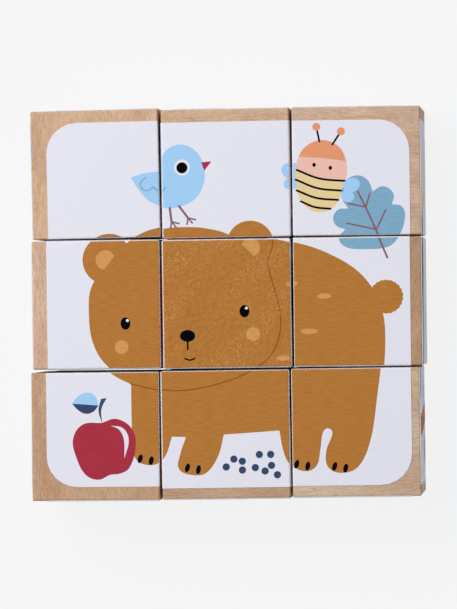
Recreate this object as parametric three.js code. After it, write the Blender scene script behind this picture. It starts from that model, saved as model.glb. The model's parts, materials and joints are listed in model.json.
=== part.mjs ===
// A nine-cube picture puzzle: nine loose wooden cubes standing three by three.
// Every cube carries a printed film on each of its six faces. Each film is one
// ninth of a picture, so the set makes six pictures, and a picture lies inside a
// bare wooden border with rounded corners.
// Units are millimetres. +Z is up, and +Y runs to the back, the top of the
// upright picture. The origin is the middle of the centre cube's underside.

import * as THREE from "three";
import { RoundedBoxGeometry } from "three/addons/geometries/RoundedBoxGeometry.js";

// ---- driving dimensions ----
const cubeEdge = 40; // a finished cube, over its prints
const arrisRadius = 0.6; // the sanded rounding on every edge of the wood
const arrisSegments = 3; // facets of the half arris, each side of its middle one
const filmThickness = 0.12; // printed film with its white ground
const glueLine = 0.04; // between the wood and a film
const standingGap = 0.35; // mean gap between two cubes as they are set down
const borderWidth = 3.8; // bare wood round a picture
const pictureCornerRadius = 9.5; // rounding of a picture's four corners
const cornerSegments = 8; // facets of that rounding

// ---- sizes that follow from them ----
const woodEdge = cubeEdge - 2 * (filmThickness + glueLine);
const flatHalf = woodEdge / 2 - arrisRadius; // half of a face's flat
const windowHalf = cubeEdge / 2 - borderWidth; // from a face's middle to the border
const pitch = cubeEdge + standingGap;

// ---- finishes ----
const beech = new THREE.MeshStandardMaterial({
  name: "bare_wood",
  color: 0xc9a789,
  roughness: 0.65,
  metalness: 0,
});
const printedFilm = new THREE.MeshStandardMaterial({
  name: "printed_film",
  color: 0xe2e3ee,
  roughness: 0.5,
  metalness: 0,
});

// ---- where the cubes stand ----
// column runs from -1 on the left to 1 on the right, and row from -1 at the
// front to 1 at the back. The cubes are set down by hand, so each is a little
// shifted, in millimetres, and turned, in degrees. The centre cube is true.
const places = [
  { name: "back_left", column: -1, row: 1, shift: [0.1, 0.2], turn: 0.5 },
  { name: "back_middle", column: 0, row: 1, shift: [0.2, -0.1], turn: 0.2 },
  { name: "back_right", column: 1, row: 1, shift: [0.2, -0.05], turn: -0.2 },
  { name: "middle_left", column: -1, row: 0, shift: [-0.15, 0.2], turn: 0 },
  { name: "centre", column: 0, row: 0, shift: [0, 0], turn: 0 },
  { name: "middle_right", column: 1, row: 0, shift: [0.05, 0.05], turn: -0.15 },
  { name: "front_left", column: -1, row: -1, shift: [-0.95, -0.15], turn: -0.25 },
  { name: "front_middle", column: 0, row: -1, shift: [-0.95, -0.05], turn: 0.1 },
  { name: "front_right", column: 1, row: -1, shift: [-1, 0.15], turn: 0.05 },
];

// ---- the six faces, each with the picture that it belongs to ----
// The turn carries a picture from the top face to its own, the way that a cube
// rolls: a picture comes up whole when all nine cubes roll the same way.
const quarter = Math.PI / 2;
const faces = [
  { picture: "bear", turn: [0, 0, 0] }, // top
  { picture: "tree", turn: [quarter, 0, 0] }, // front
  { picture: "snail", turn: [-quarter, 0, 0] }, // back
  { picture: "owl", turn: [0, quarter, 0] }, // right
  { picture: "fish", turn: [0, -quarter, 0] }, // left
  { picture: "boat", turn: [2 * quarter, 0, 0] }, // bottom
];
// The centre cube's four sides are shut in by the other cubes, and their films
// are left out of this model.
const shutIn = ["tree", "snail", "owl", "fish"];

// The outline of one ninth of a picture. An edge that meets another cube's ninth
// runs to the end of the flat, and an edge on the border stops short of it.
function ninthOutline(column, row) {
  const left = column < 0 ? -windowHalf : -flatHalf;
  const right = column > 0 ? windowHalf : flatHalf;
  const front = row < 0 ? -windowHalf : -flatHalf;
  const back = row > 0 ? windowHalf : flatHalf;
  const corners = [
    { x: right, y: back, round: column > 0 && row > 0 },
    { x: left, y: back, round: column < 0 && row > 0 },
    { x: left, y: front, round: column < 0 && row < 0 },
    { x: right, y: front, round: column > 0 && row < 0 },
  ];
  const points = [];
  corners.forEach((corner, index) => {
    if (!corner.round) {
      points.push(new THREE.Vector2(corner.x, corner.y));
      return;
    }
    const centre = new THREE.Vector2(
      corner.x - Math.sign(corner.x) * pictureCornerRadius,
      corner.y - Math.sign(corner.y) * pictureCornerRadius,
    );
    for (let step = 0; step <= cornerSegments; step++) {
      const angle = quarter * (index + step / cornerSegments);
      points.push(
        new THREE.Vector2(
          centre.x + pictureCornerRadius * Math.cos(angle),
          centre.y + pictureCornerRadius * Math.sin(angle),
        ),
      );
    }
  });
  return new THREE.Shape(points);
}

function woodenCube(place) {
  const mesh = new THREE.Mesh(
    new RoundedBoxGeometry(woodEdge, woodEdge, woodEdge, arrisSegments, arrisRadius),
    beech,
  );
  mesh.name = `cube_${place.name}`;
  return mesh;
}

// A film lies flat on its face, its outer side flush with the finished cube.
function faceFilm(place, face) {
  const geometry = new THREE.ExtrudeGeometry(ninthOutline(place.column, place.row), {
    depth: filmThickness,
    bevelEnabled: false,
  });
  const mesh = new THREE.Mesh(geometry, printedFilm);
  mesh.name = `${face.picture}_print_${place.name}`;
  mesh.position.z = cubeEdge / 2 - filmThickness;
  const side = new THREE.Group();
  side.rotation.set(...face.turn);
  side.add(mesh);
  return side;
}

function pictureCube(place) {
  const cube = new THREE.Group();
  cube.add(woodenCube(place));
  for (const face of faces) {
    const hidden = place.name === "centre" && shutIn.includes(face.picture);
    if (!hidden) cube.add(faceFilm(place, face));
  }
  cube.position.set(
    place.column * pitch + place.shift[0],
    place.row * pitch + place.shift[1],
    cubeEdge / 2,
  );
  cube.rotation.z = THREE.MathUtils.degToRad(place.turn);
  return cube;
}

const puzzle = new THREE.Group();
for (const place of places) puzzle.add(pictureCube(place));

export default puzzle;
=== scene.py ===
"""The looks of a nine-cube picture puzzle: bare wooden blocks with a printed film on every face.

Nine blocks stand three by three. Each carries one ninth of six pictures, and the films of a
picture are cut from one printed sheet, so a motif runs on from block to block. Sizes in names
that end in _MM, and all of the artwork, are in millimetres. Objects are in metres.
"""

import json
import math
import random

import bpy
from mathutils import Matrix, Vector, noise
from mathutils.geometry import delaunay_2d_cdt, interpolate_bezier


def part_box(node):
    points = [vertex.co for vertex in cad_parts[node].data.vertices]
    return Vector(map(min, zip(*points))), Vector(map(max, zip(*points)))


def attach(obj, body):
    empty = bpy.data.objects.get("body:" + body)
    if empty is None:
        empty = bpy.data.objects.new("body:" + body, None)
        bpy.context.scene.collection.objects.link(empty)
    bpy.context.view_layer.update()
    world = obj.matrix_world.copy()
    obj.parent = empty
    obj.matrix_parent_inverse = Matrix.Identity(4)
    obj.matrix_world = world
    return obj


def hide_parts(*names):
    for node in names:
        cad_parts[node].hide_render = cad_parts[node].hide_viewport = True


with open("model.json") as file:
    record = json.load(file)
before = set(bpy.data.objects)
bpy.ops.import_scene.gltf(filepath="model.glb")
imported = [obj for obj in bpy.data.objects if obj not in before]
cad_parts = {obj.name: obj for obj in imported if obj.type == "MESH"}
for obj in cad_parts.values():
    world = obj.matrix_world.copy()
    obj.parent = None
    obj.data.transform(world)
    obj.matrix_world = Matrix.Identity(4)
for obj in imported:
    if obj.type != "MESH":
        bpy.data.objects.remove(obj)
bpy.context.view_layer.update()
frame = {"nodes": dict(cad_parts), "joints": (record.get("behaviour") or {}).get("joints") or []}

MM = 0.001

# ---- sizes that the frame gives ----
wood_low, wood_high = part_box("cube_centre")
film_low, film_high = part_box("bear_print_centre")
CUBE_MM = film_high.z / MM  # a finished cube, over its prints
WOOD_MM = (wood_high.x - wood_low.x) / MM
FLAT_HALF_MM = (film_high.x - film_low.x) / 2 / MM  # half of a face's flat
ARRIS_MM = WOOD_MM / 2 - FLAT_HALF_MM  # the sanded rounding of the wood
FOLD_MM = CUBE_MM / 2 - FLAT_HALF_MM  # radius of a film's outside where it turns over an arris

# ---- sizes of the print ----
BORDER_MM = 3.8  # bare wood round a picture
CORNER_MM = 9.5  # rounding of a picture's four corners
FILM_MM = 0.15  # film and adhesive, which stops just short of the wood
GROUND_REACH_MM = 0.54  # how far the white ground runs on past the flat, over the arris
INK_REACH_MM = 0.4  # how far the coloured inks run on
EDGE_WAVE_MM = 0.08  # unevenness of both, since they are pressed on over a sanded edge
FOLD_STEPS_MM = (0.0, 0.1, 0.34)  # lines of points that let a film bend over the arris

# ---- inks ----
GROUND = "#DFE0EB"
BROWN = "#B37839"
TAN = "#CD985A"
RUST = "#98522A"
SKY = "#9EC9EF"
LEAF_BLUE = "#7DAAC6"
NAVY = "#39496D"
BLACK = "#040409"
MAROON = "#944A5C"
MAUVE = "#86616C"
RED = "#A83244"
PEACH = "#E8B9AE"
ORANGE = "#E19770"
YELLOW = "#E0CA97"


def linear(hex_colour):
    """An sRGB hex colour as a linear RGBA tuple."""
    parts = [int(hex_colour[i : i + 2], 16) / 255 for i in (1, 3, 5)]
    curve = [c / 12.92 if c <= 0.04045 else ((c + 0.055) / 1.055) ** 2.4 for c in parts]
    return (*curve, 1.0)


# ======================= outlines, in millimetres =======================

CHORD_MM = 0.9  # length of the straight pieces that a curve is printed with
CURVE_LEAN = 0.36  # how far a curve leans on its ends' directions, as a share of its length
ROUND_END_STEPS = 5  # straight pieces in the round end of a line
SIDE_STEP_MM = 1.7  # length of the straight pieces along an uneven side
WAVES_PER_MM = 0.45  # how fast an uneven side wavers


def oval(x, y, width, height, turn=0.0):
    """A circle or an ellipse, turned by that many degrees."""
    steps = max(14, round(math.pi * (width + height) / 2 / CHORD_MM))
    tilt = math.radians(turn)
    loop = []
    for step in range(steps):
        angle = math.tau * step / steps
        along, up = width / 2 * math.cos(angle), height / 2 * math.sin(angle)
        loop.append(
            (
                x + along * math.cos(tilt) - up * math.sin(tilt),
                y + along * math.sin(tilt) + up * math.cos(tilt),
            )
        )
    return loop


def corner(x, y):
    """A point where an outline turns sharply."""
    return (x, y, True)


def stretch(before, start, end, after):
    """Points of the curve from start up to end, leaning towards its neighbours."""
    a, b = Vector(start[:2]), Vector(end[:2])
    reach = (b - a).length * CURVE_LEAN
    out, into = (b - a).normalized(), (b - a).normalized()
    if len(start) == 2:
        out = (b - Vector(before[:2])).normalized()
    if len(end) == 2:
        into = (Vector(after[:2]) - a).normalized()
    steps = max(2, round((b - a).length / CHORD_MM))
    return interpolate_bezier(a, a + out * reach, b - into * reach, b, steps + 1)[:-1]


def outline(*points):
    """A closed outline that runs smoothly through its points, but for each corner()."""
    count = len(points)
    loop = []
    for i in range(count):
        loop += stretch(*(points[(i + k) % count] for k in (-1, 0, 1, 2)))
    return [(p.x, p.y) for p in loop]


def line(width, *points):
    """A drawn line of that width with round ends, as a closed outline."""
    ends = [corner(*points[0]), *points[1:-1], corner(*points[-1])]
    middle = []
    for i in range(len(ends) - 1):
        before, after = ends[max(0, i - 1)], ends[min(len(ends) - 1, i + 2)]
        middle += stretch(before, ends[i], ends[i + 1], after)
    middle.append(Vector(points[-1]))
    left, right = [], []
    for i, point in enumerate(middle):
        along = middle[min(i + 1, len(middle) - 1)] - middle[max(i - 1, 0)]
        side = Vector((-along.y, along.x)).normalized() * width / 2
        left.append(point + side)
        right.append(point - side)
    loop = right + half_turn(middle[-1], right[-1]) + left[::-1] + half_turn(middle[0], left[0])
    return [(p.x, p.y) for p in loop]


def half_turn(centre, start):
    """The points between the two ends of a half circle that goes anticlockwise from start."""
    turns = [Matrix.Rotation(math.pi * i / ROUND_END_STEPS, 2) for i in range(1, ROUND_END_STEPS)]
    return [centre + turn @ (start - centre) for turn in turns]


def rounded_square(x, y, half, reach, wave=0.0, seed=0):
    """The line at a distance of reach outside a square about (x, y), uneven by about wave."""
    side_steps = max(2, round(2 * half / SIDE_STEP_MM))
    corner_steps = 6
    loop = []
    for quarter in range(4):
        facing = math.pi / 2 * quarter
        normal = Vector((math.cos(facing), math.sin(facing)))
        along = Vector((-normal.y, normal.x))
        spots = [
            (normal * half + along * half * (2 * step / side_steps - 1), facing)
            for step in range(side_steps + 1)
        ]
        if reach:
            spots += [
                (normal * half + along * half, facing + math.pi / 2 * step / corner_steps)
                for step in range(1, corner_steps)
            ]
        for spot, angle in spots:
            base = Vector((x, y)) + spot
            wavering = Vector((base.x * WAVES_PER_MM, base.y * WAVES_PER_MM, seed + reach))
            uneven = wave * noise.noise(wavering)
            away = Vector((math.cos(angle), math.sin(angle))) * (reach + uneven)
            loop.append(tuple(base + away))
        if not reach:
            loop.pop()
    return loop


# ======================= the six pictures =======================
# Each is a list of (ink, outline), from the bottom layer to the top one. A picture's middle
# is at (0, 0), and it is seen inside a window that reaches 56 mm each way.

PAGE_MM = 62  # ground, water and branches run on this far each way, past the window


def eye(x, y, width):
    """A dark oval eye with a small glint."""
    return [
        (BLACK, oval(x, y, width, width * 1.25)),
        (GROUND, oval(x + width * 0.2, y + width * 0.3, width * 0.3, width * 0.3)),
    ]


def leaf(ink, x, y, length, width, turn):
    """A plain pointed leaf from its stalk at (x, y), with a midrib and two pairs of veins."""
    tilt = Matrix.Rotation(math.radians(turn), 2)

    def at(along, across):
        spot = Vector((x, y)) + tilt @ Vector((along * length, across * width))
        return (spot.x, spot.y)

    blade = outline(corner(*at(0.12, 0)), at(0.5, 0.5), corner(*at(1, 0)), at(0.5, -0.5))
    shapes = [(ink, blade), (MAROON, line(0.75, at(-0.08, 0), at(0.82, 0)))]
    for start in (0.36, 0.58):
        for side in (-1, 1):
            vein = line(0.6, at(start, 0), at(start + 0.15, side * 0.27))
            shapes.append((MAROON, vein))
    return shapes


def berries(*spots):
    """Small dark berries, one at each spot."""
    return [(NAVY, oval(x, y, 2.3, 2.3)) for x, y in spots]


def fur_ball(x, y, radius):
    """A round tuft, with small scallops all round."""
    scallops, depth, steps = 22, 0.28, 90
    loop = []
    for step in range(steps):
        angle = math.tau * step / steps
        reach = radius + depth * abs(math.sin(angle * scallops / 2))
        loop.append((x + reach * math.cos(angle), y + reach * math.sin(angle)))
    return loop


def bear_picture():
    """A brown bear that stands across the picture, with a bird, a bee, a leaf and fruit."""
    head = outline(
        (-36.5, 12), (-31.4, 18), (-25.6, 21.6), (-19.5, 23.2), (-13, 23.6), (-6, 23), (1, 20.8),
        (8, 15), (13, 7), (16, -2), (16.2, -9), (13.5, -16), (7.5, -21), (-2.5, -24.4), (-12, -26.1),
        (-20, -25.8), (-29, -23.8), (-36.8, -19), (-41.1, -12), (-42.3, -3), (-41.4, 5.5),
    )
    body = outline(
        (-6, 12), (8, 19.5), (21, 18.4), (33, 14), (42, 7.5), (47.3, -2), (48.3, -14), (46.5, -30),
        (44.5, -42), (41, -50), (36.5, -52.4), (31.5, -51), (30.6, -46), (32.7, -39.8), (31.1, -38.6),
        (29.7, -40), (28.9, -45), (27.6, -50.2), (24, -51.8), (19.8, -49.6), (17.8, -45.5),
        corner(16.6, -39), corner(-0.6, -40), (-2.4, -46.5), (-6, -51.6), (-10, -52.4), (-14.6, -50.5),
        (-14.2, -46), corner(-12.3, -40.6), corner(-16.6, -40.4), (-19.2, -47), (-22.8, -49),
        (-27.6, -47), (-28.6, -40), corner(-28.8, -18),
    )
    shapes = [(BROWN, fur_ball(48.8, 1.4, 5)), (BROWN, body)]
    for x, y in ((-24.5, -47.3), (-10.3, -50.4), (23.2, -49.9), (34.9, -50.7)):
        shapes.append((BLACK, oval(x - 1.7, y + 0.3, 1.5, 2.8, -18)))
        shapes.append((BLACK, oval(x + 1.7, y - 0.3, 1.5, 2.8, -12)))
    for x, y, length in ((20, 5.8, 3.2), (29.6, 1.8, 4.4), (24.9, -9, 5.4), (17.2, -17, 4)):
        shapes.append((TAN, oval(x, y, length, 1.7)))
    shapes += [(BROWN, oval(-36.2, 13.8, 15.7, 15.4)), (BROWN, oval(7.2, 17.9, 14.6, 14.6))]
    shapes += [(TAN, oval(-37, 13.8, 6, 6)), (TAN, oval(7.6, 17.2, 5.8, 5.8)), (BROWN, head)]
    jaw = (
        (14.4, 20), (14.2, 17), (12.9, 12.2), (14.6, 5), (16.4, -3), (16.2, -9.5), (13.4, -16),
        (7.5, -20.8), (-2.5, -24.4), (-12, -26.1), (-20, -25.8), (-29, -23.8),
    )
    shapes.append((RUST, line(0.4, *jaw)))
    shapes += eye(-31, -5.9, 3.1) + eye(5.4, -2.4, 3.1)
    for x, y in ((-32.3, -13.2), (8, -9.5)):
        shapes.append((TAN, oval(x, y, 4.3, 4.3)))
    shapes.append((BLACK, oval(-12.3, -9.8, 4.8, 3.7)))
    shapes.append((BLACK, line(0.55, (-12.3, -11), (-12.3, -14))))
    shapes.append((BLACK, line(0.5, (-13.2, -16.8), (-11.7, -17.3), (-10.2, -16.8))))
    shapes += bird() + bee() + lobed_leaf() + apple()
    return shapes + berries(
        (0, -50), (2.4, -47.6), (5, -48.3), (5, -51), (9, -50.3), (10.3, -46.3), (13.8, -46.3),
        (14, -49.7), (12, -51.4), (15.8, -52.6),
    )


def bird():
    """A plain round bird that looks to the right, on two thin legs."""
    body = outline(
        (-14, 49.1), (-9.2, 47), (-6.8, 42.5), (-6.7, 37.5), (-9.2, 32.6), (-14, 30), (-18.6, 29.5),
        (-23.2, 31.2), (-26.4, 34.6), corner(-29, 38.7), (-24.5, 40), corner(-20.2, 40.4), (-19, 46.6),
    )
    beak = outline(corner(-7.5, 43.5), corner(-4.3, 43.7), corner(-6.6, 40.9))
    shapes = [(SKY, body), (RED, beak)]
    wide_scallop = ((-24.5, 38.5), (-26, 37), (-25.4, 35), (-23.4, 34.6), (-22, 35.8))
    small_scallop = ((-22, 35.8), (-21.4, 34.8), (-19.9, 34.6), (-18.8, 36))
    shapes += [(LEAF_BLUE, line(0.45, *points)) for points in (wide_scallop, small_scallop)]
    shapes += [(GROUND, oval(-13.5, 42, 5, 5)), (BLACK, oval(-13.5, 41.9, 3.5, 3.5))]
    for x, y, foot_x, foot_y in ((-17.5, 29.6, -17, 25.3), (-14.6, 30.1, -11.9, 26.4)):
        shapes.append((MAUVE, line(0.7, (x, y), (foot_x, foot_y))))
        for toe_x, toe_y in ((2.3, -0.6), (1.3, -1.6), (-0.3, -2)):
            shapes.append((MAUVE, line(0.5, (foot_x, foot_y), (foot_x + toe_x, foot_y + toe_y))))
    return shapes


def bee():
    """A plain striped bee, with a pair of small wings on its left and two feelers; the pair on its
    right is drawn over the leaf.
    """
    body = outline(
        (21.3, 37), (21.5, 42), (24, 47.4), (29.5, 49.6), (34.8, 47.4), (37.1, 42), (36, 34.5),
        (32.5, 28.6), (27.5, 27.5), (22.8, 31),
    )
    front = outline(
        corner(21.3, 40.5), (21.8, 43.4), (24.4, 47.6), (29.5, 49.6), (34.8, 47.4), (37.1, 42),
        corner(36.7, 37.2), (29, 38),
    )
    cap = outline(
        corner(22.2, 44.6), (24.4, 47.6), (29.5, 49.6), (34.8, 47.4), corner(36.9, 43), (30, 44)
    )
    shapes = [(SKY, oval(20.3, 40.2, 6.4, 5, -20)), (SKY, oval(20.4, 36.6, 5.4, 3.8, 20))]
    shapes += [(YELLOW, body), (PEACH, front), (ORANGE, cap)]
    for left, middle, right in (
        ((21.6, 40.5), (28.5, 37.8), (36.6, 36.9)),
        ((21.3, 37.5), (28, 34.8), (35.8, 33.9)),
        ((21.5, 34.2), (27.6, 31.8), (34.3, 31.1)),
        ((22.8, 30.8), (27, 29), (31.9, 28.4)),
    ):
        shapes.append((BLACK, line(0.65, left, middle, right)))
    for x, y, tip_x, tip_y in ((28.7, 49.2, 27.8, 53.7), (32.7, 48.2, 35.4, 52.2)):
        shapes += [(BLACK, line(0.6, (x, y), (tip_x, tip_y))), (ORANGE, oval(tip_x, tip_y, 2.5, 2.5))]
    return shapes + [(BLACK, oval(27, 42, 1.1, 1.3)), (BLACK, oval(32, 41, 1.1, 1.3))]


def lobed_leaf():
    """A leaf with rounded lobes either side of a midrib, and the bee's other wings over it."""
    blade = outline(
        corner(36.4, 22), (33.6, 23.2), (32.7, 25.8), (34.4, 28.2), corner(37.4, 28.4), (35.5, 31.8),
        (36.4, 36.6), (40, 38.6), (43.4, 37.2), corner(45, 33.6), (48.2, 35.2), (51.4, 32.8),
        corner(50.8, 29.6), (54, 28.8), (54.8, 25.2), (53, 20), (49.6, 16.8), (42, 16.1), (36.6, 16.8),
        (34.4, 19.4),
    )
    wings = [(SKY, oval(38.4, 35.6, 5.4, 4.4, 20)), (SKY, oval(37.2, 32.2, 4.2, 3.6, -20))]
    shapes = [(LEAF_BLUE, blade)] + wings
    shapes.append((MAUVE, line(0.6, (40.4, 33.6), (44, 26), (49.3, 13.4))))
    for start, tip in (
        ((46, 21.9), (36.8, 23.9)), ((46, 21.9), (48.9, 27.8)),
        ((42.8, 28.8), (37.3, 30)), ((42.8, 28.8), (44.1, 33)),
    ):
        shapes.append((MAUVE, line(0.5, start, tip)))
    return shapes


def apple():
    """A red apple with a stalk, a two-tone leaf and a highlight."""
    flesh = outline(
        corner(-38, -35.8), (-33.4, -34.6), (-28.6, -37.8), (-27.6, -43.5), (-29.6, -49.8),
        (-32.4, -51.5), (-35.6, -51.9), (-39.2, -53.4), (-43.2, -51.8), (-46, -46.5), (-47, -40.8),
        (-44, -36.3),
    )
    stalk = outline(
        corner(-37.9, -36), (-39, -32), corner(-38.2, -28.4), corner(-36.4, -28.1), (-38.1, -31.6)
    )
    above = outline(
        corner(-47.2, -29.8), (-45.2, -27.4), (-42, -26.4), (-39.8, -27.8), corner(-39, -30.4)
    )
    below = outline(
        corner(-47.2, -29.8), corner(-39, -30.4), (-40.4, -32.2), (-42.8, -33), (-45.2, -31.9)
    )
    shine = outline(
        corner(-35.2, -36.7), (-31.4, -37.5), (-29.7, -41.2), corner(-31.1, -46.8), (-31.2, -41),
        (-32.6, -38),
    )
    return [(RED, flesh), (NAVY, stalk), (SKY, above), (NAVY, below), (GROUND, shine)]


def hill(ink, left, middle, right):
    """Ground along the foot of a picture, with its height at three places."""
    ground = outline(
        corner(-PAGE_MM, -PAGE_MM), corner(PAGE_MM, -PAGE_MM), corner(PAGE_MM, right),
        (0, middle), corner(-PAGE_MM, left),
    )
    return [(ink, ground)]


def toadstool(x, y, size):
    """A spotted toadstool with the foot of its stalk at (x, y)."""
    stalk = outline(
        corner(x - size * 0.2, y + size * 0.5), (x - size * 0.24, y), (x + size * 0.24, y),
        corner(x + size * 0.2, y + size * 0.5),
    )
    cap = outline(
        corner(x - size * 0.55, y + size * 0.45), (x, y + size * 0.95),
        corner(x + size * 0.55, y + size * 0.45),
    )
    shapes = [(PEACH, stalk), (RED, cap)]
    for across, up in ((-0.22, 0.6), (0.05, 0.75), (0.25, 0.58)):
        shapes.append((GROUND, oval(x + size * across, y + size * up, size * 0.15, size * 0.13)))
    return shapes


def grass(x, y):
    """Three blades that grow from (x, y)."""
    shapes = []
    for lean in (-2.4, 0, 2.4):
        shapes.append((NAVY, line(0.8, (x, y), (x + lean * 0.5, y + 3), (x + lean, y + 5))))
    return shapes


def tree_picture():
    """An apple tree on a hill, under a low sun."""
    shapes = [(YELLOW, oval(-38, 38, 16, 16))]
    for x, y, width, height in ((34, 41, 17, 8), (41, 43.5, 11, 9), (28, 42, 9, 7)):
        shapes.append((SKY, oval(x, y, width, height)))
    shapes += hill(TAN, -34, -38, -32)
    trunk = outline(
        corner(-12, -44), (-6.5, -28), corner(-6, 0), corner(6, 0), (7, -28), corner(14, -44), (1, -41)
    )
    shapes += [(BROWN, trunk), (RUST, line(0.7, (-1.5, -34), (-0.8, -20), (-2, -8)))]
    shapes.append((RUST, line(0.7, (3.6, -30), (3, -18))))
    for x, y, width in ((-19, 6, 30), (19, 6, 30), (0, 2, 30), (-11, 25, 29), (12, 26, 28)):
        shapes.append((LEAF_BLUE, oval(x, y, width, width * 0.9)))
    for x, y in ((-22, 12), (-4, 31), (14, 16), (25, 4), (-7, 6)):
        shapes.append((SKY, outline((x - 4, y), (x, y + 1.6), (x + 4, y), (x, y + 3.4))))
    for x, y in ((-25, 1), (-11, 18), (5, 9), (17, 27), (23, 12), (-2, -5)):
        shapes += [(RED, oval(x, y, 5, 4.8)), (NAVY, line(0.6, (x, y + 2), (x + 0.9, y + 4)))]
    shapes += toadstool(-34, -46, 14) + toadstool(-24, -49, 9) + toadstool(36, -47, 12)
    shapes += grass(-46, -50) + grass(22, -50) + grass(47, -46)
    return shapes + berries((4, -49), (8, -51), (6, -46.5))


def spiral(x, y, width, start, end, turns):
    """A spiral line that winds inwards from one radius to another."""
    steps = 9 * turns
    points = []
    for step in range(steps + 1):
        share = step / steps
        radius = start + (end - start) * share
        angle = math.tau * turns * share - 0.6
        points.append((x + radius * math.cos(angle), y + radius * math.sin(angle)))
    return line(width, *points)


def butterfly(x, y):
    """A small butterfly with two plain wings."""
    return [
        (SKY, oval(x, y, 6, 4.4, 30)),
        (SKY, oval(x + 3.6, y, 6, 4.4, -30)),
        (NAVY, line(0.8, (x + 1.8, y - 2), (x + 1.8, y + 2))),
    ]


def snail_picture():
    """A snail with a banded shell, in a meadow."""
    shapes = hill(LEAF_BLUE, -30, -34, -36) + [(ORANGE, oval(-37, 39, 15, 15))]
    body = outline(
        corner(-46, -33), (-24, -27), (6, -27), (22, -18), (26, 6), (34, 15), (42, 8), (41, -8),
        (36, -24), (22, -34), (-14, -36),
    )
    shapes.append((TAN, body))
    for ink, x, width in ((BROWN, -8, 54), (ORANGE, -8, 42), (BROWN, -9, 31), (YELLOW, -9, 20)):
        shapes.append((ink, oval(x, -3.5, width, width * 0.93)))
    shapes += [(BROWN, oval(-9.5, -4, 10, 9)), (MAROON, spiral(-8, -3, 1.1, 26, 3, 3))]
    for x, y, tip_x, tip_y in ((33, 13, 30, 29), (39, 12, 44, 27)):
        shapes.append((TAN, line(1.6, (x, y), (tip_x, tip_y))))
        shapes.append((BLACK, oval(tip_x, tip_y, 4.2, 4.2)))
    shapes += eye(36.5, 6.5, 2.8) + [(MAROON, line(0.8, (38, -3), (40, -4.4), (42, -3.6)))]
    shapes += toadstool(46, -50, 13) + toadstool(-30, -51, 10)
    shapes += butterfly(-6, 43) + butterfly(8, 39) + butterfly(22, 44)
    return shapes + grass(-44, -46) + grass(4, -48) + grass(26, -46)


def owl_wing(side):
    """The wing, the eye and the foot on one side of the owl."""
    wing = outline(
        corner(side * 25, 8), (side * 31, -8), corner(side * 17, -30), (side * 19, -8)
    )
    shapes = [(LEAF_BLUE, wing)]
    for ink, width in ((GROUND, 19), (TAN, 14.5), (BLACK, 8.6)):
        shapes.append((ink, oval(side * 10.3, 15, width, width)))
    shapes.append((GROUND, oval(side * 10 + 1.6, 17, 2.4, 2.4)))
    for toe in (-2.2, 0, 2.2):
        shapes.append((ORANGE, line(1.6, (side * 7 + toe, -34), (side * 7 + toe, -38.6))))
    return shapes


def owl_picture():
    """An owl on a branch, under a crescent moon."""
    shapes = [(YELLOW, oval(36, 38, 20, 20)), (GROUND, oval(31, 41, 17, 17))]
    for x, y in ((-40, 44), (-24, 48), (-47, 28), (45, 14), (18, 48), (50, -6), (-50, 4)):
        shapes.append((SKY, oval(x, y, 1.8, 1.8)))
    shapes.append((BROWN, line(6.5, (-PAGE_MM, -37), (-20, -35), (20, -38), (PAGE_MM, -34))))
    shapes.append((RUST, line(0.7, (-50, -36), (-20, -34), (-4, -35.4))))
    shapes.append((RUST, line(0.7, (14, -38.4), (34, -37.6), (52, -35.6))))
    body = outline(
        corner(-26, 34), (-20, 26), (20, 26), corner(26, 34), (29, 2), (20, -31), (0, -38),
        (-20, -31), (-29, 2),
    )
    shapes += [(NAVY, body), (PEACH, outline((-13, 2), (13, 2), (17, -14), (0, -33), (-17, -14)))]
    for row in range(3):
        for column in range(4 - row):
            x, y = (column - (3 - row) / 2) * 7.5, -7 - row * 7
            shapes.append((ORANGE, line(0.9, (x - 2, y + 1), (x, y - 1), (x + 2, y + 1))))
    shapes += owl_wing(-1) + owl_wing(1)
    shapes.append((ORANGE, outline(corner(-3.6, 11), (0, 12.6), corner(3.6, 11), corner(0, 4))))
    shapes += leaf(LEAF_BLUE, -40, -34, 15, 9, 70) + leaf(SKY, -46, -39, 14, 8, -60)
    shapes += leaf(LEAF_BLUE, 44, -38, 15, 9, -70) + leaf(SKY, 40, -34, 13, 8, 60)
    return shapes + berries((-33, -42), (-30, -44), (-34, -45.5))


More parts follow.
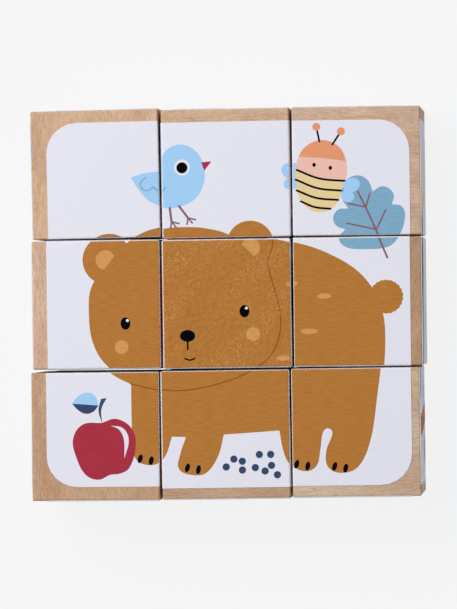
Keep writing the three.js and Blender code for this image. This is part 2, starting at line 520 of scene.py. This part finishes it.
def fish_picture():
    """A fish among water plants, over a bed of sand."""
    water = outline(
        corner(-PAGE_MM, PAGE_MM), corner(-PAGE_MM, 34), (-42, 38), (-22, 34), (0, 38), (22, 34),
        (42, 38), corner(PAGE_MM, 34), corner(PAGE_MM, PAGE_MM),
    )
    shapes = [(SKY, water)] + hill(YELLOW, -42, -45, -40)
    for x, height in ((-46, 40), (-38, 26), (44, 34), (50, 22)):
        wave = [(x + (2.6 if step % 2 else -2.6), -48 + height * step / 5) for step in range(6)]
        shapes.append((LEAF_BLUE, line(3, *wave)))
    tail = outline(corner(24, -3), (36, 4), corner(45, 16), (40, -1), corner(45, -18), (36, -8))
    upper_fin = outline(corner(-14, 14), (-4, 25), corner(14, 23), (10, 16), corner(12, 10))
    lower_fin = outline(corner(-8, -19), (-2, -28), corner(9, -27), (7, -22), corner(6, -18))
    body = outline(
        (-41, 0), (-32, 12), (-10, 20), (12, 15), (29, -1), (12, -18), (-10, -22), (-32, -13)
    )
    head = outline((-41, -1), (-31, -2), (-23, 15), (-32, 12))
    shapes += [(RED, tail), (RED, upper_fin), (RED, lower_fin), (ORANGE, body), (PEACH, head)]
    for column in range(4):
        for row in range(3):
            x, y = -14 + column * 9, -9 + row * 9 - (column % 2) * 4
            shapes.append((RUST, line(0.8, (x, y + 4), (x + 2.6, y), (x, y - 4))))
    shapes += [(GROUND, oval(-29, 3.5, 9, 9)), (BLACK, oval(-29.6, 3.5, 5, 5))]
    shapes.append((RUST, line(0.9, (-38, -5), (-33.6, -6.6), (-31.4, -4))))
    for x, y, size in ((-45, 14, 5), (-49, 22, 3.6), (-43, 27, 2.6), (34, 27, 4), (38, 33, 2.6)):
        shapes.append((LEAF_BLUE, oval(x, y, size, size)))
        shapes.append((GROUND, oval(x, y, size * 0.62, size * 0.62)))
    for x, y in ((-16, -50), (2, -52), (24, -49)):
        shapes += [(RED, oval(x, y, 5, 3.4, 15)), (PEACH, oval(x, y, 2, 1.6))]
    return shapes


def boat_picture():
    """A sailing boat on the waves, with three gulls."""
    mast = outline(corner(-1.2, -22), corner(1.2, -22), corner(0.8, 47), corner(-0.8, 47))
    flag = outline(corner(0.8, 47), corner(12, 43.4), corner(0.8, 40))
    right_sail = outline(corner(3, 38), (19, 12), corner(31, -14), corner(3, -14))
    left_sail = outline(corner(-3, 34), corner(-3, -14), corner(-27, -14), (-18, 12))
    hull = outline(
        corner(-38, -17), corner(40, -17), (31, -31), corner(22, -34), corner(-22, -34), (-32, -29)
    )
    sea = outline(
        corner(-PAGE_MM, -PAGE_MM), corner(PAGE_MM, -PAGE_MM), corner(PAGE_MM, -22), (44, -26),
        (26, -22), (8, -26), (-10, -22), (-28, -26), (-46, -22), corner(-PAGE_MM, -26),
    )
    shapes = [(ORANGE, oval(-38, 36, 17, 17)), (BROWN, mast), (RED, flag)]
    shapes += [(SKY, right_sail), (YELLOW, left_sail), (NAVY, line(0.9, (5, 6), (20.5, 6)))]
    shapes += [(NAVY, line(0.9, (-5, 2), (-20, 2))), (RED, hull)]
    shapes += [(GROUND, line(1.6, (-34.5, -20), (36.6, -20))), (LEAF_BLUE, sea)]
    for x, y in ((-40, -36), (-18, -42), (8, -36), (32, -42), (-34, -51), (2, -52), (38, -52)):
        ripple = ((x - 7, y), (x - 3.5, y + 2), (x, y), (x + 3.5, y + 2), (x + 7, y))
        shapes.append((SKY, line(1.2, *ripple)))
    for x, y in ((34, 34), (43, 25), (24, 46)):
        gull = ((x - 4, y + 1.6), (x - 1.6, y + 2), (x, y), (x + 1.6, y + 2), (x + 4, y + 1.6))
        shapes.append((NAVY, line(0.9, *gull)))
    return shapes


# ======================= the printed films =======================

INSIDES_ONLY = 1  # the triangulation's own number for leaving out what lies outside all loops
SAME_POINT_MM = 1e-4  # points closer than this are one
SHARP_FROM_DEG = 32  # an edge that bends more than this is shaded sharp


def ninth_faces(shapes, place):
    """One ninth of a printed picture, as flat triangles round its own middle, each with its ink.

    An ink's edge has to be an edge of the film's faces, with no face on both sides of it and
    nothing lying on top, so all outlines are put through one constrained triangulation.
    Cutting them with edit-mode tools would need hundreds of cuts that cross each other.
    """
    middle_x, middle_y = (-step * CUBE_MM for step in place.cell)
    straight = CUBE_MM * 1.5 - BORDER_MM - CORNER_MM
    window = rounded_square(middle_x + place.slip[0], middle_y + place.slip[1], straight, CORNER_MM)
    loops = [window]
    loops.append(rounded_square(0, 0, FLAT_HALF_MM, GROUND_REACH_MM, EDGE_WAVE_MM, place.seed))
    loops.append(rounded_square(0, 0, FLAT_HALF_MM, INK_REACH_MM, EDGE_WAVE_MM, place.seed))
    loops += [rounded_square(0, 0, FLAT_HALF_MM, reach) for reach in FOLD_STEPS_MM]
    first_shape = len(loops)
    inks = []
    for ink, loop in shapes:
        here = [(x + middle_x, y + middle_y) for x, y in anticlockwise(loop)]
        if all(min(along) < CUBE_MM / 2 and max(along) > -CUBE_MM / 2 for along in zip(*here)):
            loops.append(here)
            inks.append(ink)
    points, faces = [], []
    for loop in loops:
        faces.append(list(range(len(points), len(points) + len(loop))))
        points += [Vector(p) for p in loop]
    corners, _, triangles, _, _, inside = delaunay_2d_cdt(
        points, [], faces, INSIDES_ONLY, SAME_POINT_MM, True
    )
    found = []
    for triangle, loops_here in zip(triangles, inside):
        if 0 not in loops_here or 1 not in loops_here:
            continue
        shapes_here = [i for i in loops_here if i >= first_shape]
        ink = GROUND
        if shapes_here and 2 in loops_here:
            ink = inks[max(shapes_here) - first_shape]
        found.append(([corners[i].to_tuple(6) for i in triangle], ink))
    return found


def anticlockwise(loop):
    """The loop, turned round if it runs clockwise."""
    area = sum(a[0] * b[1] - b[0] * a[1] for a, b in zip(loop, loop[1:] + loop[:1]))
    return loop if area > 0 else loop[::-1]


def folded(x, y):
    """Where a flat point of a film lies once the film is pressed down over the arrises."""
    held = Vector([min(max(part, -FLAT_HALF_MM), FLAT_HALF_MM) for part in (x, y)])
    past = Vector((x, y)) - held
    if past.length < 1e-6:
        return Vector((x, y, CUBE_MM / 2))
    turn = past.length / FOLD_MM
    spot = held + past.normalized() * FOLD_MM * math.sin(turn)
    return Vector((spot.x, spot.y, CUBE_MM / 2 - FOLD_MM * (1 - math.cos(turn))))


def keep_attribute(mesh, name, kind, domain, values):
    """Writes one value for each point or face of a mesh, for the materials to read."""
    made = mesh.attributes.new(name, kind, domain)
    field = {"FLOAT_COLOR": "color", "FLOAT_VECTOR": "vector", "FLOAT": "value"}[kind]
    flat = values if kind == "FLOAT" else [part for value in values for part in value]
    made.data.foreach_set(field, flat)


def only(piece):
    """Makes one piece the selected and active object."""
    bpy.ops.object.select_all(action="DESELECT")
    piece.select_set(True)
    bpy.context.view_layer.objects.active = piece


def apply_modifier(piece, kind, **settings):
    """Adds a modifier with its settings, and turns its result into the piece's own mesh."""
    modifier = piece.modifiers.new(kind.lower(), kind)
    for name, value in settings.items():
        setattr(modifier, name, value)
    only(piece)
    bpy.ops.object.modifier_apply(modifier=modifier.name)


def smooth_curves(piece):
    """Shades the roundings smooth, and keeps the flats flat right up to them."""
    only(piece)
    bpy.ops.object.shade_smooth_by_angle(angle=math.radians(SHARP_FROM_DEG))
    apply_modifier(piece, "WEIGHTED_NORMAL", weight=100, keep_sharp=True)


def film(name, place, turn, faces, material):
    """One ninth of a picture, as a thin closed sheet on its face of the block."""
    index, points, sheet, triangles, inks = {}, [], [], [], []
    for flat_corners, ink in faces:
        for spot in flat_corners:
            if spot not in index:
                index[spot] = len(points)
                points.append(turn @ folded(*spot))
                sheet.append([spot[i] + place.cell[i] * CUBE_MM for i in (0, 1)] + [0])
        triangles.append([index[spot] for spot in flat_corners])
        inks.append(linear(ink))
    mesh = bpy.data.meshes.new(name)
    mesh.from_pydata([place.stand @ (p * MM) for p in points], [], triangles)
    keep_attribute(mesh, "ink", "FLOAT_COLOR", "FACE", inks)
    keep_attribute(mesh, "wood_mm", "FLOAT_VECTOR", "POINT", [place.in_timber(p) for p in points])
    keep_attribute(mesh, "sheet_mm", "FLOAT_VECTOR", "POINT", sheet)
    keep_attribute(mesh, "bare", "FLOAT", "POINT", [place.bare] * len(points))
    mesh.materials.append(material)
    piece = bpy.data.objects.new(name, mesh)
    bpy.context.scene.collection.objects.link(piece)
    apply_modifier(piece, "SOLIDIFY", thickness=FILM_MM * MM, offset=-1)
    smooth_curves(piece)
    return piece


# ======================= the wooden blocks =======================

ARRIS_SEGMENTS = 6  # facets across the rounding of an edge


class Place:
    """Where a block stands, and how it was sawn from its timber."""

    def __init__(self, name, cell, slip, grain, timber, bare, seed):
        self.name = name
        self.cell = cell
        self.slip = slip  # how far the edge of its white ground lies off true, in millimetres
        self.seed = seed
        self.timber = timber  # mean colour of its wood
        self.bare = bare  # how much the wood's tooling breaks through the inks
        low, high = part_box(f"cube_{name}")
        self.stand = Matrix.Translation((low + high) / 2) @ Matrix.Rotation(yaw_of(name), 4, "Z")
        chance = random.Random(seed)
        self.to_grain = Vector(grain).to_track_quat("Z", "Y").inverted()
        # where in the tree the block was, 55 to 95 mm out from the pith
        self.pith = Vector((chance.uniform(-30, 30), chance.uniform(55, 95), chance.uniform(0, 300)))

    def in_timber(self, point):
        """A point of the block, in millimetres from its middle, seen from the tree's pith."""
        return self.to_grain @ point + self.pith


def yaw_of(name):
    """A joint's axis lies square to its block, so its angle off the frame's is the block's turn."""
    for joint in frame["joints"]:
        if joint["child"] == f"{name}_cube":
            angle = math.atan2(joint["axis"][1], joint["axis"][0])
            quarter = math.pi / 2
            return angle - round(angle / quarter) * quarter
    return 0.0


def block(place, material):
    """A block of wood with every edge sanded round."""
    bpy.ops.object.select_all(action="DESELECT")
    bpy.ops.mesh.primitive_cube_add(size=WOOD_MM * MM)
    piece = bpy.context.active_object
    piece.name = piece.data.name = f"block_{place.name}"
    bpy.ops.object.mode_set(mode="EDIT")
    bpy.ops.mesh.select_all(action="SELECT")
    rounding = {"offset": ARRIS_MM * MM, "offset_type": "OFFSET", "segments": ARRIS_SEGMENTS}
    bpy.ops.mesh.bevel(affect="EDGES", **rounding)
    bpy.ops.object.mode_set(mode="OBJECT")
    points = [v.co / MM for v in piece.data.vertices]
    in_timber = [place.in_timber(p) for p in points]
    timber = [linear(place.timber)] * len(points)
    keep_attribute(piece.data, "wood_mm", "FLOAT_VECTOR", "POINT", in_timber)
    keep_attribute(piece.data, "timber", "FLOAT_COLOR", "POINT", timber)
    piece.data.transform(place.stand)
    piece.data.materials.append(material)
    smooth_curves(piece)
    return piece


# ======================= materials =======================


def add(tree, kind, inputs, **settings):
    """Adds a shader node with its settings, and sets or links its inputs."""
    made = tree.nodes.new("ShaderNode" + kind)
    for name, value in settings.items():
        setattr(made, name, value)
    for key, value in inputs.items():
        if isinstance(value, bpy.types.NodeSocket):
            tree.links.new(value, made.inputs[key])
        else:
            made.inputs[key].default_value = value
    return made


def stretched_noise(tree, spot, stretch, scale, detail):
    """Noise whose marks are drawn out along the axes where stretch is small."""
    drawn_out = add(tree, "VectorMath", {0: spot, 1: stretch}, operation="MULTIPLY").outputs[0]
    made = add(tree, "TexNoise", {"Vector": drawn_out, "Scale": scale, "Detail": detail})
    return made.outputs["Fac"]


def steps_up(tree, value, low, high, most=1.0):
    """A smooth step from 0 up to most, as the value goes from low to high."""
    limits = {"Value": value, "From Min": low, "From Max": high, "To Max": most}
    return add(tree, "MapRange", limits, interpolation_type="SMOOTHSTEP").outputs["Result"]


def timber_grain(tree):
    """Fibres, pores and year rings, in the block's own timber, in millimetres.

    Real fibres are a few hundredths of a millimetre wide. These are drawn about 0.4 mm wide,
    and the pores 0.2 mm, so that they show at the size of the whole set.
    """
    year_mm, sway_mm = 2.7, 9.0  # a year's growth, and how far the rings stray from round
    spot = add(tree, "Attribute", {}, attribute_name="wood_mm").outputs["Vector"]
    level = add(tree, "VectorMath", {0: spot, 1: (1, 1, 0)}, operation="MULTIPLY").outputs[0]
    radius = add(tree, "VectorMath", {0: level}, operation="LENGTH").outputs["Value"]
    sway = stretched_noise(tree, spot, (1, 1, 0.03), 0.06, 2.0)
    swayed = add(tree, "Math", {0: sway, 1: sway_mm, 2: radius}, operation="MULTIPLY_ADD").outputs[0]
    years = add(tree, "Math", {0: swayed, 1: 1 / year_mm}, operation="MULTIPLY").outputs[0]
    through_year = add(tree, "Math", {0: years}, operation="FRACT").outputs[0]
    pores = stretched_noise(tree, spot, (1, 1, 0.16), 4.2, 1.0)
    return {
        "fibres": stretched_noise(tree, spot, (1, 1, 0.07), 2.6, 4.0),
        "strands": stretched_noise(tree, spot, (1, 1, 0.3), 2.4, 3.0),
        "flecks": stretched_noise(tree, spot, (1, 1, 0.5), 3.0, 1.0),
        "cloud": stretched_noise(tree, spot, (1, 1, 0.2), 0.16, 2.0),
        "pores": steps_up(tree, pores, 0.62, 0.74),
        "rings": steps_up(tree, through_year, 0.35, 0.95),
    }


def ramp(tree, value, *stops):
    """Colours along a value, as (place, hex colour) pairs."""
    made = add(tree, "ValToRGB", {"Fac": value})
    points = made.color_ramp.elements
    while len(points) < len(stops):
        points.new(0.5)
    for point, (place, colour) in zip(points, stops):
        point.position = place
        point.color = linear(colour)
    return made.outputs["Color"]


def mixed(tree, share, a, b, blend="MIX"):
    """Colour a, with that share of b blended into it."""
    return add(tree, "Mix", {0: share, 6: a, 7: b}, data_type="RGBA", blend_type=blend).outputs[2]


def new_material(name):
    """A material with one empty shader, as (material, its node tree, shader)."""
    material = bpy.data.materials.new(name)
    material.use_nodes = True
    tree = material.node_tree
    tree.nodes.clear()
    shader = add(tree, "BsdfPrincipled", {})
    add(tree, "OutputMaterial", {"Surface": shader.outputs["BSDF"]})
    return material, tree, shader


def sanded_beech():
    """Beech, sawn and sanded but not finished: matt and pinkish tan, with fine fibres, short
    dark pores and soft year rings, and a slightly rougher end grain."""
    ring_share, pore_share = 0.26, 0.35  # how dark late wood and pores come out
    pore_depth = 1.4  # against the fibres' own height
    material, tree, shader = new_material("sanded_beech")
    grain = timber_grain(tree)
    timber = add(tree, "Attribute", {}, attribute_name="timber").outputs["Color"]
    fibres = ramp(tree, grain["fibres"], (0.3, "#E9E2DA"), (0.55, "#FFFFFF"))
    wood = mixed(tree, 1.0, timber, fibres, "MULTIPLY")
    strands = ramp(tree, grain["strands"], (0.3, "#ECE6E0"), (0.65, "#FFFFFF"))
    wood = mixed(tree, 1.0, wood, strands, "MULTIPLY")
    late = add(tree, "Math", {0: grain["rings"], 1: ring_share}, operation="MULTIPLY").outputs[0]
    wood = mixed(tree, late, wood, linear("#B28B6C"))
    drift = ramp(tree, grain["cloud"], (0.3, "#F1E9E4"), (0.7, "#FFFFFF"))
    wood = mixed(tree, 1.0, wood, drift, "MULTIPLY")
    dark = add(tree, "Math", {0: grain["pores"], 1: pore_share}, operation="MULTIPLY").outputs[0]
    wood = mixed(tree, dark, wood, linear("#946F50"))
    tree.links.new(wood, shader.inputs["Base Color"])
    rough = add(tree, "MapRange", {"Value": grain["fibres"], "To Min": 0.5, "To Max": 0.78})
    tree.links.new(rough.outputs["Result"], shader.inputs["Roughness"])
    lie = {0: grain["pores"], 1: -pore_depth, 2: grain["fibres"]}
    height = add(tree, "Math", lie, operation="MULTIPLY_ADD").outputs[0]
    bump = add(tree, "Bump", {"Height": height, "Strength": 0.5, "Distance": 0.06 * MM})
    tree.links.new(bump.outputs["Normal"], shader.inputs["Normal"])
    shader.inputs["Specular IOR Level"].default_value = 0.2
    return material


def printed_film():
    """Ink on a white ground, on a thin transfer film pressed onto sanded wood: satin, with the
    printer's fine bands in dark inks. Where the wood was rough its strands telegraph through
    instead, with bare flecks, but not under black, which is laid on thickest.

    The bands are really some 0.1 mm apart, and are drawn about 0.3 mm apart so that they show.
    """
    material, tree, shader = new_material("printed_film")
    grain = timber_grain(tree)
    ink = add(tree, "Attribute", {}, attribute_name="ink").outputs["Color"]
    bare = add(tree, "Attribute", {}, attribute_name="bare").outputs["Fac"]
    strands = ramp(tree, grain["strands"], (0.3, "#E6DFD7"), (0.6, "#FFFFFF"))
    sheet = add(tree, "Attribute", {}, attribute_name="sheet_mm").outputs["Vector"]
    bands = stretched_noise(tree, sheet, (0.1, 1, 1), 3.0, 2.0)
    bands = ramp(tree, bands, (0.35, "#F1ECE6"), (0.6, "#FFFFFF"))
    rough_wood = steps_up(tree, bare, 0.05, 0.3)
    shade = mixed(tree, rough_wood, bands, strands)
    pale = add(tree, "RGBToBW", {"Color": ink}).outputs["Val"]
    limits = {"Value": pale, "From Min": 0.28, "From Max": 0.5, "To Min": 1.0, "To Max": 0.16}
    takes = add(tree, "MapRange", limits).outputs["Result"]
    colour = mixed(tree, takes, ink, shade, "MULTIPLY")
    fleck = steps_up(tree, grain["flecks"], 0.54, 0.66)
    patch = steps_up(tree, grain["cloud"], 0.36, 0.62)
    share = add(tree, "Math", {0: fleck, 1: patch}, operation="MULTIPLY").outputs[0]
    missed = add(tree, "Math", {0: share, 1: bare}, operation="MULTIPLY").outputs[0]
    thinness = steps_up(tree, pale, 0.01, 0.06)
    missed = add(tree, "Math", {0: missed, 1: thinness}, operation="MULTIPLY").outputs[0]
    colour = mixed(tree, missed, colour, linear("#DCAE72"))
    tree.links.new(colour, shader.inputs["Base Color"])
    rough = add(tree, "MapRange", {"Value": grain["strands"], "To Min": 0.42, "To Max": 0.62})
    tree.links.new(rough.outputs["Result"], shader.inputs["Roughness"])
    relief = {"Height": grain["strands"], "Strength": 0.3, "Distance": 0.04 * MM}
    bump = add(tree, "Bump", relief)
    tree.links.new(bump.outputs["Normal"], shader.inputs["Normal"])
    shader.inputs["Specular IOR Level"].default_value = 0.02
    return material


# ======================= the set =======================

# name, (column, row), slip of the ground, direction of the grain, wood, bare flecks, seed
PLACES = [
    Place("back_left", (-1, 1), (1.2, -0.2), (0.05, 1, 0.04), "#DDBDA0", 0.02, 11),
    Place("back_middle", (0, 1), (0, -0.3), (1, 0.04, 0.02), "#D9BDA1", 0.02, 12),
    Place("back_right", (1, 1), (0.2, -0.5), (1, -0.08, 0.05), "#D5BAA4", 0.02, 13),
    Place("middle_left", (-1, 0), (0.9, 0), (-0.03, 1, 0.06), "#E0C3AB", 0.03, 14),
    Place("centre", (0, 0), (0, 0), (0.74, 0.67, 0.05), "#CFB193", 0.36, 15),
    Place("middle_right", (1, 0), (0, 0), (0.45, 1, 0.08), "#C09F81", 0.06, 16),
    Place("front_left", (-1, -1), (1.0, 0.6), (0.04, 1, 0.10), "#CBAA8B", 0.03, 17),
    Place("front_middle", (0, -1), (0, -0.2), (1, -0.05, 0.04), "#C8AA8E", 0.04, 18),
    Place("front_right", (1, -1), (0.9, -0.1), (1, 0.10, -0.06), "#D4BFA8", 0.04, 19),
]

# A picture, and the turn that carries it from the top face to its own, as the cube rolls.
PICTURES = [
    ("bear", bear_picture, Matrix.Identity(3)),
    ("tree", tree_picture, Matrix.Rotation(math.pi / 2, 3, "X")),
    ("snail", snail_picture, Matrix.Rotation(-math.pi / 2, 3, "X")),
    ("owl", owl_picture, Matrix.Rotation(math.pi / 2, 3, "Y")),
    ("fish", fish_picture, Matrix.Rotation(-math.pi / 2, 3, "Y")),
    ("boat", boat_picture, Matrix.Rotation(math.pi, 3, "X")),
]

beech = sanded_beech()
film_finish = printed_film()

for place in PLACES:
    piece = block(place, beech)
    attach(piece, f"{place.name}_cube")
    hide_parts(f"cube_{place.name}")

for picture, drawn, turn in PICTURES:
    shapes = drawn()
    for place in PLACES:
        faces = ninth_faces(shapes, place)
        piece = film(f"{picture}_film_{place.name}", place, turn, faces, film_finish)
        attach(piece, f"{place.name}_cube")
        node = f"{picture}_print_{place.name}"
        if node in frame["nodes"]:
            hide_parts(node)

# ======================= floor, light and camera =======================


def studio_floor():
    """A pale sheet that glows a little, like a light table's, so the shadows on it are faint."""
    width, drop = 14, 0.02 * MM  # a hair below the blocks, so that no faces share a plane
    bpy.ops.object.select_all(action="DESELECT")
    bpy.ops.mesh.primitive_plane_add(size=width, location=(0, 0, -drop))
    floor = bpy.context.active_object
    floor.name = "studio_floor"
    material, tree, shader = new_material("opal_sheet")
    shader.inputs["Base Color"].default_value = linear("#404040")
    shader.inputs["Roughness"].default_value = 0.9
    shader.inputs["Specular IOR Level"].default_value = 0.0
    shader.inputs["Emission Color"].default_value = (1, 1, 1, 1)
    shader.inputs["Emission Strength"].default_value = 0.87
    floor.data.materials.append(material)


def studio_light(name, location, size, power):
    """A square soft box that faces the set."""
    lamp = bpy.data.lights.new(name, "AREA")
    lamp.shape = "SQUARE"
    lamp.size = size
    lamp.energy = power
    holder = bpy.data.objects.new(name, lamp)
    bpy.context.scene.collection.objects.link(holder)
    holder.location = location
    holder.rotation_euler = (-Vector(location)).to_track_quat("-Z", "Y").to_euler()


def studio_air(strength):
    """Even white light from all round, and a background as pale as the floor."""
    world = bpy.data.worlds.new("studio_air")
    world.use_nodes = True
    world.node_tree.nodes.clear()
    shade = add(world.node_tree, "Background", {"Color": (1, 1, 1, 1), "Strength": strength})
    add(world.node_tree, "OutputWorld", {"Surface": shade.outputs["Background"]})
    bpy.context.scene.world = world


def camera():
    """Looks almost straight down from slightly to the right, through a long lens."""
    distance, tilt, roll = 1.5, math.radians(4.2), math.radians(-0.83)
    seen_height, sensor_mm = 187.85 * MM, 36
    aim = Vector((0.5, -0.29, CUBE_MM)) * MM
    back = Vector((math.sin(tilt), 0, math.cos(tilt)))
    data = bpy.data.cameras.new("camera")
    data.sensor_width = sensor_mm
    data.lens = distance / seen_height * sensor_mm
    data.clip_end = 100
    holder = bpy.data.objects.new("camera", data)
    bpy.context.scene.collection.objects.link(holder)
    right = Vector((0, 1, 0)).cross(back)
    facing = Matrix((right, (0, 1, 0), back)).transposed() @ Matrix.Rotation(roll, 3, "Z")
    holder.matrix_world = Matrix.Translation(aim + back * distance) @ facing.to_4x4()
    bpy.context.scene.camera = holder


studio_floor()
studio_air(0.12)
studio_light("key_light", (-0.9, 0.7, 1.7), 1.5, 52)
camera()
bpy.context.scene.view_settings.view_transform = "Standard"
